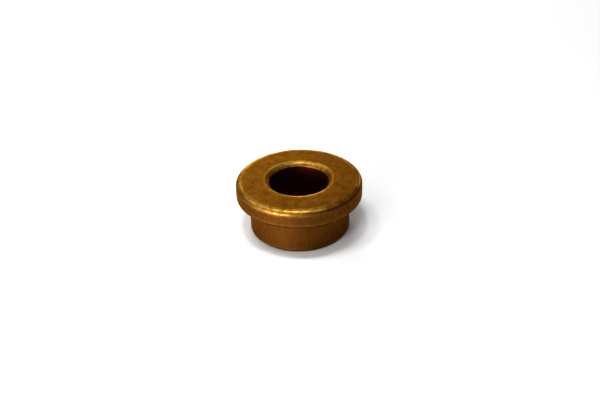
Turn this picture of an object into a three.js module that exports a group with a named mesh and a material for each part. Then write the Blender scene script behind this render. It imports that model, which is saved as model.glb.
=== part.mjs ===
// Flanged plain bearing bush, pressed and sintered in one piece from bronze powder.
// Millimetres, +Z up. The bore axis is Z, the sleeve's end face lies on z = 0 with its
// centre at the origin, and the flange's thrust face is the highest face.
import * as THREE from "three";

// Driving dimensions
const boreDiameter = 14; // runs on the shaft
const sleeveDiameter = 24; // pressed into the housing
const flangeDiameter = 30; // carries the thrust
const flangeThickness = 4.5;
const overallLength = 13; // sleeve end to thrust face

// Edges: every chamfer is at 45 degrees, and the press tool leaves its corners soft
const boreChamfer = 0.85; // at both ends of the bore
const rimChamfer = 0.75; // on the flange's outer edge, at the thrust face
const seatChamfer = 0.5; // on the flange's outer edge, at its underside
const sleeveChamfer = 0.5; // lead-in on the sleeve's outer edge
const mouthRadius = 0.9; // where the bore's chamfers meet the end faces
const rimRadius = 1.1; // both corners of the rim's chamfer
const cornerRadius = 0.4; // every other convex corner
const rootRadius = 0.4; // fillet where the sleeve meets the flange

// Facets
const turnSegments = 96; // flats round the axis
const arcStep = Math.PI / 8; // largest turn between two points of a rounded corner

const bronze = new THREE.MeshStandardMaterial({
  name: "sintered_bronze",
  color: 0x795b2b,
  roughness: 0.53,
  metalness: 1,
});

// Corners of the wall's section as [radius, height, rounding], anticlockwise round the
// solid: sleeve end, outside of the sleeve, flange, thrust face, then down the bore.
function wallCorners() {
  const bore = boreDiameter / 2;
  const sleeve = sleeveDiameter / 2;
  const flange = flangeDiameter / 2;
  const seat = overallLength - flangeThickness; // underside of the flange
  return [
    [bore + boreChamfer, 0, mouthRadius],
    [sleeve - sleeveChamfer, 0, cornerRadius],
    [sleeve, sleeveChamfer, cornerRadius],
    [sleeve, seat, rootRadius],
    [flange - seatChamfer, seat, cornerRadius],
    [flange, seat + seatChamfer, cornerRadius],
    [flange, overallLength - rimChamfer, rimRadius],
    [flange - rimChamfer, overallLength, rimRadius],
    [bore + boreChamfer, overallLength, mouthRadius],
    [bore, overallLength - boreChamfer, cornerRadius],
    [bore, boreChamfer, cornerRadius],
  ];
}

// Points of the arc that rounds the corner at `here`, tangent to both of its sides.
function roundedCorner(before, here, after, radius) {
  const toBefore = before.clone().sub(here).normalize();
  const toAfter = after.clone().sub(here).normalize();
  const halfAngle = Math.acos(toBefore.dot(toAfter)) / 2;
  const middle = toBefore.clone().add(toAfter).normalize();
  const centre = here.clone().addScaledVector(middle, radius / Math.sin(halfAngle));
  const turn = Math.PI - 2 * halfAngle;
  const side = Math.sign(toAfter.cross(toBefore)); // +1 on convex corners, -1 in the root
  const steps = Math.ceil(turn / arcStep - 1e-6);
  const points = [];
  for (let step = 0; step <= steps; step += 1) {
    const angle = side * turn * (step / steps - 0.5);
    const spoke = middle.clone().negate().rotateAround(new THREE.Vector2(), angle);
    points.push(centre.clone().addScaledVector(spoke, radius));
  }
  return points;
}

// The closed section of the wall, as (radius, height) points.
function wallOutline() {
  const corners = wallCorners();
  const points = corners.map(([radius, height]) => new THREE.Vector2(radius, height));
  const outline = corners.flatMap(([, , rounding], index) => {
    const before = points.at(index - 1);
    const after = points[(index + 1) % points.length];
    return roundedCorner(before, points[index], after, rounding);
  });
  return [...outline, outline[0]];
}

// The section turned once round the axis. LatheGeometry turns about Y, so Y becomes Z.
function flangedBush() {
  const mesh = new THREE.Mesh(new THREE.LatheGeometry(wallOutline(), turnSegments), bronze);
  mesh.name = "flanged_bushing";
  mesh.rotation.x = Math.PI / 2;
  return mesh;
}

const bushing = new THREE.Group();
bushing.add(flangedBush());

export default bushing;
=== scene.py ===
"""Looks of a flanged bearing bush in sintered bronze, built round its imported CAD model.

Everything is in metres in the CAD's frame: the bore axis is Z, the sleeve stands on z = 0
and the flange is on top. The wall's main sizes are read from the CAD node.
"""

import math
import random

import bpy
import numpy as np
from mathutils import Matrix, Vector, noise


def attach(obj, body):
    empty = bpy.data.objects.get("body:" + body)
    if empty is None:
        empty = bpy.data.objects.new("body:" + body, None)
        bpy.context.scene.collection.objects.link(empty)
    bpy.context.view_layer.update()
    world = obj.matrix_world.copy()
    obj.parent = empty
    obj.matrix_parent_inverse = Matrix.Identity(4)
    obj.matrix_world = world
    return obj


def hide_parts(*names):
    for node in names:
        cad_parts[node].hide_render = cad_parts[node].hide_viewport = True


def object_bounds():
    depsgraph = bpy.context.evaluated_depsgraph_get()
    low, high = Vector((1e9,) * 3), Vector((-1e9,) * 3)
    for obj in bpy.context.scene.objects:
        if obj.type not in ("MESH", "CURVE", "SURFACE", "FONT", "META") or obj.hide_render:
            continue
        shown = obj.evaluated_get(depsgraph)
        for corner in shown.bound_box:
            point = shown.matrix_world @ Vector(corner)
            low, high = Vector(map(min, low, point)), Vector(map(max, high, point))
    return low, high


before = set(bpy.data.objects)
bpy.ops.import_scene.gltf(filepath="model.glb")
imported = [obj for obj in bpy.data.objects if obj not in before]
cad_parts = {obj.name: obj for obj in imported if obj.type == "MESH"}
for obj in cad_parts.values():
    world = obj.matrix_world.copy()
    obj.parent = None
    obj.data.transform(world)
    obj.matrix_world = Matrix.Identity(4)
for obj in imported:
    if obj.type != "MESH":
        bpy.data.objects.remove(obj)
cad_low, cad_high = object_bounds()

NODE = "flanged_bushing"
MM = 0.001

# Edges of the wall's section
BORE_CHAMFER = 0.85 * MM
RIM_CHAMFER = 0.75 * MM  # on the flange's outer edge, at the thrust face
SEAT_CHAMFER = 0.5 * MM  # on the flange's outer edge, at its underside
SLEEVE_CHAMFER = 0.5 * MM
MOUTH_RADIUS = 0.9 * MM  # where the bore's chamfers meet the end faces
RIM_RADIUS = 1.1 * MM  # both corners of the rim's chamfer
CORNER_RADIUS = 0.4 * MM
ROOT_RADIUS = 0.4 * MM

# Mesh
TURN_SEGMENTS = 576
FLAT_STEP = 0.4 * MM  # longest side of a face along the section
ARC_STEP = math.radians(12)

# Wear, all of it cut into the surface
EDGE_CORE = 0.28 * MM  # distance from a corner within which its wear is whole
EDGE_FADE = 0.7 * MM  # distance over which it then fades to nothing
EDGE_WEAR = 0.02 * MM  # deepest unevenness along an edge
EDGE_WEAR_LENGTH = 1.6 * MM  # along which it rises and falls
EDGE_WEAR_SEED = 3.0
FACE_WAVE = 0.006 * MM  # depth of the pressed faces' slow waves
FACE_WAVE_LENGTH = 3.5 * MM
FACE_WAVE_SEED = 7.0
RUBBED_LENGTH = 9.0 * MM  # over which a rubbed stretch of an edge comes and goes
RUBBED_SEED = 157.5
RUBBED_CONTRAST = 3.2
RUBBED_OFFSET = 0.95
LEAST_RUBBED = 0.3
NICKS = 26
NICK_DEPTHS = (0.02 * MM, 0.06 * MM)  # least and most
NICK_WIDTHS = (0.3 * MM, 0.7 * MM)  # from a nick's middle to its edge
NICK_SEED = 5

# Marks of the pressed powder and of the die
GRAIN = 0.3 * MM  # from one grain to the next
PORE_PATCH = 0.9 * MM  # size of the patches where the pores are open
STREAK = 0.35 * MM  # width of the die's marks
DRAG = 6.0  # how much longer the die's marks are along the axis than across it
BLOTCH = 2.2 * MM  # size of the duller and cleaner patches
RUB_MOTTLE = 1.1 * MM  # size of the spots that rubbing missed
BORE_SHADE_DEPTH = 4.0 * MM  # depth at which the bore's painted shade stops darkening

# Relief of the marks, in the material
RELIEF = 0.022 * MM
GAP_RELIEF = -0.6  # in shares of RELIEF, like the next two
STREAK_RELIEF = 0.6
PORE_RELIEF = -0.7
WORN_RELIEF = 0.25  # share that is left where an edge is worn

# Roughness
SMOOTHEST = 0.47
ROUGHEST = 0.59
RUBBED_SMOOTHING = 0.12
PORE_ROUGHENING = 0.25
FLOOR_ROUGHNESS = 0.9

# Colours of the metal, linear
DULL_BRONZE = (0.147, 0.075, 0.013, 1)
CLEAN_BRONZE = (0.195, 0.108, 0.022, 1)
DRAWN_BRONZE = (0.220, 0.105, 0.033, 1)
STREAKED_BRONZE = (0.116, 0.050, 0.009, 1)
BRIGHT_GRAIN = (0.26, 0.148, 0.036, 1)
RUBBED_BRONZE = (0.48, 0.31, 0.10, 1)
# Painted shade on the faces that look down: the flange's underside, its lower chamfer and the
# sleeve's foot
PAINTED_SHADE_BRONZE = (0.060, 0.023, 0.004, 1)
# Painted light in the bore: a red painted glow of inner reflections at its mouths, darkening to
# painted shade further in
BORE_MOUTH_PAINTED_GLOW = (0.26, 0.066, 0.014, 1)
BORE_PAINTED_SHADE = (0.085, 0.018, 0.004, 1)
OIL_IN_PORES = (0.05, 0.02, 0.004, 1)
GRAZING_TINT = (0.85, 0.7, 0.5, 1)

# The most that each colour covers the ones below it
DRAWN_SHARE = 0.8
STREAK_SHARE = 0.35
GRAIN_SHARE = 0.3
# painted shade of the faces that look down
PAINTED_SHADE_SHARE = 0.85
# painted glow and painted shade in the bore
BORE_PAINTED_SHARE = 0.8
OIL_SHARE = 0.35

# Stage
FLOOR_HALF = 1.2  # from the middle of the square to its sides
FLOOR_COLOUR = (0.78, 0.78, 0.785, 1)
LIGHT_DISTANCE = 0.45

# Camera
VIEW_ELEVATION = math.radians(32.3)
VIEW_ROLL = math.radians(-1.7)
VIEW_DISTANCE = 177.4 * MM
VIEW_AIM = Vector((0.11, -2.78, 8.60)) * MM
LENS = 45.0  # in millimetres, like the sensor's width
SENSOR_WIDTH = 36.0
NEAREST_SEEN = 0.005
FARTHEST_SEEN = 10.0


# The wall's sizes, read from the CAD node


def cad_sizes():
    """Bore, sleeve and flange radius, the height of the flange's seat, and the length."""
    points = np.array([v.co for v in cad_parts[NODE].data.vertices])
    radius = np.hypot(points[:, 0], points[:, 1])
    height = points[:, 2]
    length = height.max()
    sleeve = radius[height < length / 2].max()
    seat = height[radius > sleeve + MM].min()
    return radius.min(), sleeve, radius.max(), seat, length


# The section: rounded corners joined by straight sides, as (radius, height) points


def rounded_corner(before, here, after, radius):
    """Points of the arc that rounds the corner at here, tangent to both of its sides."""
    to_before = (before - here).normalized()
    to_after = (after - here).normalized()
    half_angle = math.acos(to_before.dot(to_after)) / 2
    middle = (to_before + to_after).normalized()
    centre = here + middle * (radius / math.sin(half_angle))
    turn = math.pi - 2 * half_angle
    side = math.copysign(1, to_after.cross(to_before))
    steps = math.ceil(turn / ARC_STEP - 1e-6)
    points = []
    for step in range(steps + 1):
        spoke = -middle
        spoke.rotate(Matrix.Rotation(side * turn * (step / steps - 0.5), 2))
        points.append(centre + spoke * radius)
    return points


def side_points(start, end):
    """Evenly spaced points between start and end, without either."""
    count = math.ceil((end - start).length / FLAT_STEP)
    return [start.lerp(end, step / count) for step in range(1, count)]


def wall_corners():
    """The section's corners with their rounding and wear, anticlockwise round the solid."""
    bore, sleeve, flange, seat, length = cad_sizes()
    corners = [
        (bore + BORE_CHAMFER, 0, MOUTH_RADIUS, 0.2),
        (sleeve - SLEEVE_CHAMFER, 0, CORNER_RADIUS, 0.3),
        (sleeve, SLEEVE_CHAMFER, CORNER_RADIUS, 0.4),
        (sleeve, seat, ROOT_RADIUS, 0.0),
        (flange - SEAT_CHAMFER, seat, CORNER_RADIUS, 0.1),
        (flange, seat + SEAT_CHAMFER, CORNER_RADIUS, 0.3),
        (flange, length - RIM_CHAMFER, RIM_RADIUS, 0.45),
        (flange - RIM_CHAMFER, length, RIM_RADIUS, 1.0),
        (bore + BORE_CHAMFER, length, MOUTH_RADIUS, 0.85),
        (bore, length - BORE_CHAMFER, CORNER_RADIUS, 0.5),
        (bore, BORE_CHAMFER, CORNER_RADIUS, 0.0),
    ]
    return [(Vector((radius, height)), rounding, wear) for radius, height, rounding, wear in corners]


def wall_outline():
    """The closed section as an array of points, and the outward normal at each."""
    corners = wall_corners()
    outline = []
    for i, (here, rounding, _) in enumerate(corners):
        after = corners[(i + 1) % len(corners)][0]
        arc = rounded_corner(corners[i - 1][0], here, after, rounding)
        if outline:
            outline += side_points(outline[-1], arc[0])
        outline += arc
    outline += side_points(outline[-1], outline[0])
    outline = np.array(outline)
    along = np.roll(outline, -1, axis=0) - np.roll(outline, 1, axis=0)
    normals = np.stack([along[:, 1], -along[:, 0]], axis=1)
    return outline, normals / np.linalg.norm(normals, axis=1)[:, None]


def edge_share(outline):
    """The most wear that a corner brings to each point, fading out along the flats."""
    shares = []
    for here, _, wear in wall_corners():
        away = np.linalg.norm(outline - np.array(here), axis=1)
        shares.append(wear * np.clip(1 - (away - EDGE_CORE) / EDGE_FADE, 0, 1) ** 2)
    return np.max(shares, axis=0)


# The bush


def nick_places():
    """Where the nicks are, as (point on an edge, width, depth), half of them on the rim."""
    dice = random.Random(NICK_SEED)
    _, sleeve, flange, seat, length = cad_sizes()
    rim = (flange - RIM_CHAMFER / 2, length - RIM_CHAMFER / 2)
    edges = [
        rim,
        rim,
        (flange - SEAT_CHAMFER / 2, seat + SEAT_CHAMFER / 2),
        (sleeve - SLEEVE_CHAMFER / 2, SLEEVE_CHAMFER / 2),
    ]
    places = []
    for i in range(NICKS):
        radius, height = edges[i % len(edges)]
        angle = dice.uniform(0, 2 * math.pi)
        point = np.array((radius * math.cos(angle), radius * math.sin(angle), height))
        places.append((point, dice.uniform(*NICK_WIDTHS), dice.uniform(*NICK_DEPTHS)))
    return places


def waves(points, length, seed):
    """Smooth noise between 0 and 1 at each point, changing over about length."""
    return np.array([noise.noise(p) for p in points / length + seed]) * 0.5 + 0.5


def rubbed_share(points):
    """How bright the edges are rubbed at each point, in long stretches that come and go."""
    stretches = waves(points, RUBBED_LENGTH, RUBBED_SEED)
    return np.clip(RUBBED_CONTRAST * stretches - RUBBED_OFFSET, LEAST_RUBBED, 1)


def wear_depth(points, edge):
    """How far each point of the turned section is worn in."""
    depth = EDGE_WEAR * edge * waves(points, EDGE_WEAR_LENGTH, EDGE_WEAR_SEED)
    depth += FACE_WAVE * waves(points, FACE_WAVE_LENGTH, FACE_WAVE_SEED)
    for place, width, deepest in nick_places():
        near = np.clip(1 - np.linalg.norm(points - place, axis=1) / width, 0, 1)
        depth += deepest * near**2 * (3 - 2 * near)
    return depth


def turned(section):
    """Each (radius, height) of a section at every step round Z, as (x, y, z) rows."""
    angles = np.linspace(0, 2 * math.pi, TURN_SEGMENTS, endpoint=False)
    x = np.outer(np.cos(angles), section[:, 0])
    y = np.outer(np.sin(angles), section[:, 0])
    z = np.tile(section[:, 1], (TURN_SEGMENTS, 1))
    return np.stack([x, y, z], axis=2).reshape(-1, 3)


def turned_faces(count):
    """Four-sided faces between the turned copies of a closed section of count points."""
    here = np.arange(TURN_SEGMENTS * count).reshape(TURN_SEGMENTS, count)
    beside = np.roll(here, -1, axis=0)
    above = np.roll(here, -1, axis=1)
    above_beside = np.roll(beside, -1, axis=1)
    return np.stack([here, beside, above_beside, above], axis=2).reshape(-1, 4)


def section_guides(outline, normals):
    """Guides for the material, from 0 to 1, that are the same all round the bush."""
    depth = np.minimum(outline[:, 1], cad_high.z - outline[:, 1])
    return {
        "drawn": np.clip(4 * normals[:, 0] - 3, 0, 1),  # slid along the die
        "shade_below": np.clip(-1.5 * normals[:, 1], 0, 1),  # looks down
        "bored": np.clip(-5 * normals[:, 0] - 4, 0, 1),  # looks down, and so gets painted shade
        "bore_shade": np.clip(depth / BORE_SHADE_DEPTH, 0, 1),  # far from both ends, where the bore's painted shade is darkest
    }


def bush_mesh():
    """The section turned round Z and worn, as a closed mesh with the material's guides."""
    outline, normals = wall_outline()
    points = turned(outline)
    edge = np.tile(edge_share(outline), TURN_SEGMENTS)
    worn = edge * rubbed_share(points)
    points -= turned(normals) * wear_depth(points, edge)[:, None]

    mesh = bpy.data.meshes.new("bush")
    mesh.from_pydata(points.tolist(), [], turned_faces(len(outline)).tolist())
    mesh.shade_smooth()
    guides = {"worn": worn}
    for name, section in section_guides(outline, normals).items():
        guides[name] = np.tile(section, TURN_SEGMENTS)
    for name, values in guides.items():
        attribute = mesh.attributes.new(name, "FLOAT", "POINT")
        attribute.data.foreach_set("value", values)
    return mesh


# Node helpers


class Nodes:
    """Short names for adding nodes to one material."""

    def __init__(self, material):
        material.use_nodes = True
        self.tree = material.node_tree
        self.shader = self.tree.nodes["Principled BSDF"]

    def add(self, kind, **settings):
        """A new node of a kind, such as Math, with its properties set."""
        node = self.tree.nodes.new("ShaderNode" + kind)
        for name, value in settings.items():
            setattr(node, name, value)
        return node

    def put(self, value, socket):
        """Links a socket or sets a number or colour."""
        if isinstance(value, bpy.types.NodeSocket):
            self.tree.links.new(value, socket)
        else:
            socket.default_value = value

    def attribute(self, name):
        """One of the guides stored on the mesh."""
        return self.add("Attribute", attribute_name=name).outputs["Fac"]

    def stretched(self, place, scale):
        """The place with each axis multiplied by scale."""
        node = self.add("Mapping")
        node.inputs["Scale"].default_value = scale
        self.put(place, node.inputs["Vector"])
        return node.outputs["Vector"]

    def noise(self, place, size, detail=3.0, roughness=0.6):
        """Noise whose features are about size across."""
        node = self.add("TexNoise")
        node.inputs["Scale"].default_value = 1 / size
        node.inputs["Detail"].default_value = detail
        node.inputs["Roughness"].default_value = roughness
        self.put(place, node.inputs["Vector"])
        return node.outputs["Fac"]

    def cells(self, place, size):
        """Cells about size across: the distance from the nearest centre, and a random colour."""
        node = self.add("TexVoronoi")
        node.inputs["Scale"].default_value = 1 / size
        self.put(place, node.inputs["Vector"])
        return node.outputs["Distance"], node.outputs["Color"]

    def red(self, colour):
        """The red channel, used as a number."""
        node = self.add("SeparateColor")
        self.put(colour, node.inputs["Color"])
        return node.outputs["Red"]

    def math(self, operation, first, second):
        """A sum, difference or product of two numbers."""
        node = self.add("Math", operation=operation)
        self.put(first, node.inputs[0])
        self.put(second, node.inputs[1])
        return node.outputs[0]

    def ramp(self, value, low, high, first=0.0, last=1.0):
        """first below low, last above high, smooth between."""
        node = self.add("MapRange", interpolation_type="SMOOTHSTEP")
        node.inputs["From Min"].default_value = low
        node.inputs["From Max"].default_value = high
        node.inputs["To Min"].default_value = first
        node.inputs["To Max"].default_value = last
        self.put(value, node.inputs["Value"])
        return node.outputs["Result"]

    def mix(self, share, first, second):
        """first where share is 0 and second where it is 1, for colours."""
        node = self.add("Mix", data_type="RGBA")
        self.put(share, node.inputs[0])  # by number, as its number and colour sockets share names
        self.put(first, node.inputs[6])
        self.put(second, node.inputs[7])
        return node.outputs[2]

    def bump(self, height, distance):
        """The normal of a surface that is raised by height times distance."""
        node = self.add("Bump")
        node.inputs["Strength"].default_value = 1.0
        node.inputs["Distance"].default_value = distance
        self.put(height, node.inputs["Height"])
        return node.outputs["Normal"]


# Materials


def powder_marks(nodes, worn):
    """Patterns of the pressed metal. A gap grows from each grain's middle to its edge."""
    place = nodes.add("TexCoord").outputs["Object"]
    along_axis = nodes.stretched(place, (1, 1, 1 / DRAG))
    gap, tint = nodes.cells(place, GRAIN)
    open_pores = nodes.ramp(nodes.noise(place, PORE_PATCH, detail=2.0), 0.5, 0.68)
    mottle = nodes.ramp(nodes.noise(place, RUB_MOTTLE), 0.36, 0.56, first=0.5)
    return {
        "gap": gap,
        "tint": nodes.red(tint),
        "pore": nodes.math("MULTIPLY", nodes.ramp(gap, 0.56, 0.76), open_pores),
        "streaks": nodes.noise(along_axis, STREAK),
        "blotches": nodes.noise(place, BLOTCH, roughness=0.55),
        "rubbed": nodes.math("MULTIPLY", worn, mottle),
    }


def bronze_colour(nodes, marks):
    """The colours laid over each other, from the body of the metal outwards."""
    # Painted light: the bore's walls get a red painted glow near the ends and painted shade further
    # in
    bore_painted_light = nodes.mix(nodes.attribute("bore_shade"), BORE_MOUTH_PAINTED_GLOW, BORE_PAINTED_SHADE)
    layers = (
        (nodes.math("MULTIPLY", nodes.attribute("drawn"), DRAWN_SHARE), DRAWN_BRONZE),
        (nodes.ramp(marks["streaks"], 0.3, 0.7, last=STREAK_SHARE), STREAKED_BRONZE),
        (nodes.ramp(marks["tint"], 0.0, 1.0, last=GRAIN_SHARE), BRIGHT_GRAIN),
        (marks["rubbed"], RUBBED_BRONZE),
        # painted shade on the faces that look down
        (nodes.math("MULTIPLY", nodes.attribute("shade_below"), PAINTED_SHADE_SHARE), PAINTED_SHADE_BRONZE),
        # painted glow and painted shade on the bore's walls
        (nodes.math("MULTIPLY", nodes.attribute("bored"), BORE_PAINTED_SHARE), bore_painted_light),
        (nodes.math("MULTIPLY", marks["pore"], OIL_SHARE), OIL_IN_PORES),
    )
    colour = nodes.mix(nodes.ramp(marks["blotches"], 0.34, 0.66), DULL_BRONZE, CLEAN_BRONZE)
    for share, layer in layers:
        colour = nodes.mix(share, colour, layer)
    return colour


def bronze_roughness(nodes, marks):
    """Uneven along the die's marks, rougher in the pores and smoother where rubbed."""
    rough = nodes.ramp(marks["streaks"], 0.25, 0.75, SMOOTHEST, ROUGHEST)
    smoothing = nodes.math("MULTIPLY", marks["rubbed"], RUBBED_SMOOTHING)
    roughening = nodes.math("MULTIPLY", marks["pore"], PORE_ROUGHENING)
    return nodes.math("ADD", nodes.math("SUBTRACT", rough, smoothing), roughening)


def bronze_relief(nodes, marks, worn):
    """Grains, the die's marks and pores, flattened where the metal is worn."""
    relief = nodes.math("MULTIPLY", marks["gap"], GAP_RELIEF)
    for name, height in (("streaks", STREAK_RELIEF), ("pore", PORE_RELIEF)):
        relief = nodes.math("ADD", relief, nodes.math("MULTIPLY", marks[name], height))
    left = nodes.ramp(worn, 0.0, 0.8, first=1.0, last=WORN_RELIEF)
    return nodes.bump(nodes.math("MULTIPLY", relief, left), RELIEF)


def sintered_bronze():
    """Bronze powder pressed in a die and sintered, with oil in its pores."""
    material = bpy.data.materials.new("sintered_bronze")
    nodes = Nodes(material)
    worn = nodes.attribute("worn")
    marks = powder_marks(nodes, worn)
    nodes.put(bronze_colour(nodes, marks), nodes.shader.inputs["Base Color"])
    nodes.put(bronze_roughness(nodes, marks), nodes.shader.inputs["Roughness"])
    nodes.put(bronze_relief(nodes, marks, worn), nodes.shader.inputs["Normal"])
    nodes.shader.inputs["Metallic"].default_value = 1.0
    nodes.shader.inputs["Specular Tint"].default_value = GRAZING_TINT
    return material


def pale_floor():
    """Matt white card."""
    material = bpy.data.materials.new("pale_floor")
    nodes = Nodes(material)
    nodes.shader.inputs["Base Color"].default_value = FLOOR_COLOUR
    nodes.shader.inputs["Roughness"].default_value = FLOOR_ROUGHNESS
    nodes.shader.inputs["Specular IOR Level"].default_value = 0.2
    return material


# Stage


def add_object(name, data):
    """A new object in the scene that holds a mesh, a light or a camera."""
    made = bpy.data.objects.new(name, data)
    bpy.context.scene.collection.objects.link(made)
    return made


def floor():
    """A pale square that the bush stands on."""
    half = FLOOR_HALF
    mesh = bpy.data.meshes.new("floor")
    corners = [(-half, -half, 0), (half, -half, 0), (half, half, 0), (-half, half, 0)]
    mesh.from_pydata(corners, [], [(0, 1, 2, 3)])
    mesh.materials.append(pale_floor())
    return add_object("floor", mesh)


def direction(azimuth, elevation):
    """Unit vector from the bush. Azimuth 0 is in front, at -Y, and a quarter turn is at +X."""
    level = math.cos(elevation)
    return Vector((math.sin(azimuth) * level, -math.cos(azimuth) * level, math.sin(elevation)))


def soft_light(name, azimuth, elevation, width, radiance):
    """A round light aimed at the bush, with its angles in degrees."""
    data = bpy.data.lights.new(name, "AREA")
    data.shape = "DISK"
    data.size = width
    area = math.pi * width**2 / 4
    data.energy = radiance * math.pi * area
    light = add_object(name, data)
    outwards = direction(math.radians(azimuth), math.radians(elevation))
    light.location = Vector((0, 0, cad_high.z / 2)) + outwards * LIGHT_DISTANCE
    light.rotation_mode = "QUATERNION"
    light.rotation_quaternion = outwards.to_track_quat("Z", "Y")


def lights():
    """The soft lights, each as name, azimuth, elevation, width and radiance."""
    for name, azimuth, elevation, width, radiance in (
        ("overhead", -45, 82, 0.065, 38.0),
        ("overhead_right", 45, 82, 0.065, 9.0),
        ("high_left", -80, 71, 0.08, 17.0),
        ("front_top", -10, 58, 0.065, 8.0),
        ("front_right", 54, 54, 0.09, 9.0),
        ("left_key", -66, 48, 0.065, 9.0),
        ("left", -108, 35, 0.24, 2.0),
        ("right", 108, 35, 0.24, 0.95),
        ("back", -174, 27, 0.24, 3.4),
        ("spark", -50, 20, 0.09, 9.0),
        ("far_left", -72, 12, 0.24, 1.7),
        ("front_left", -34, 10, 0.24, 7.2),
        ("table_left", -38, 5, 0.09, 20.0),
        ("low_back_right", 148, 7, 0.09, 9.0),
        ("low_back_left", -148, 7, 0.09, 4.5),
    ):
        soft_light(name, azimuth, elevation, width, radiance)


def surroundings():
    """A black world, so all the light comes from the soft lights."""
    world = bpy.data.worlds.new("studio")
    world.use_nodes = True
    background = world.node_tree.nodes["Background"]
    background.inputs["Strength"].default_value = 0.0
    bpy.context.scene.world = world


def camera():
    """In front of the bush and above it, rolled a little about the line of sight."""
    data = bpy.data.cameras.new("camera")
    data.lens = LENS
    data.sensor_width = SENSOR_WIDTH
    data.clip_start = NEAREST_SEEN
    data.clip_end = FARTHEST_SEEN
    made = add_object("camera", data)
    tilt = Matrix.Rotation(math.pi / 2 - VIEW_ELEVATION, 4, "X")
    roll = Matrix.Rotation(VIEW_ROLL, 4, "Z")
    stand = Matrix.Translation(VIEW_AIM + direction(0, VIEW_ELEVATION) * VIEW_DISTANCE)
    made.matrix_world = stand @ tilt @ roll
    bpy.context.scene.camera = made


camera()
surroundings()
lights()
floor()

bush = add_object("bush", bush_mesh())
bush.data.materials.append(sintered_bronze())
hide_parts(NODE)
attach(bush, "root")

view = bpy.context.scene.view_settings
view.view_transform = "Standard"
view.look = "Very High Contrast"
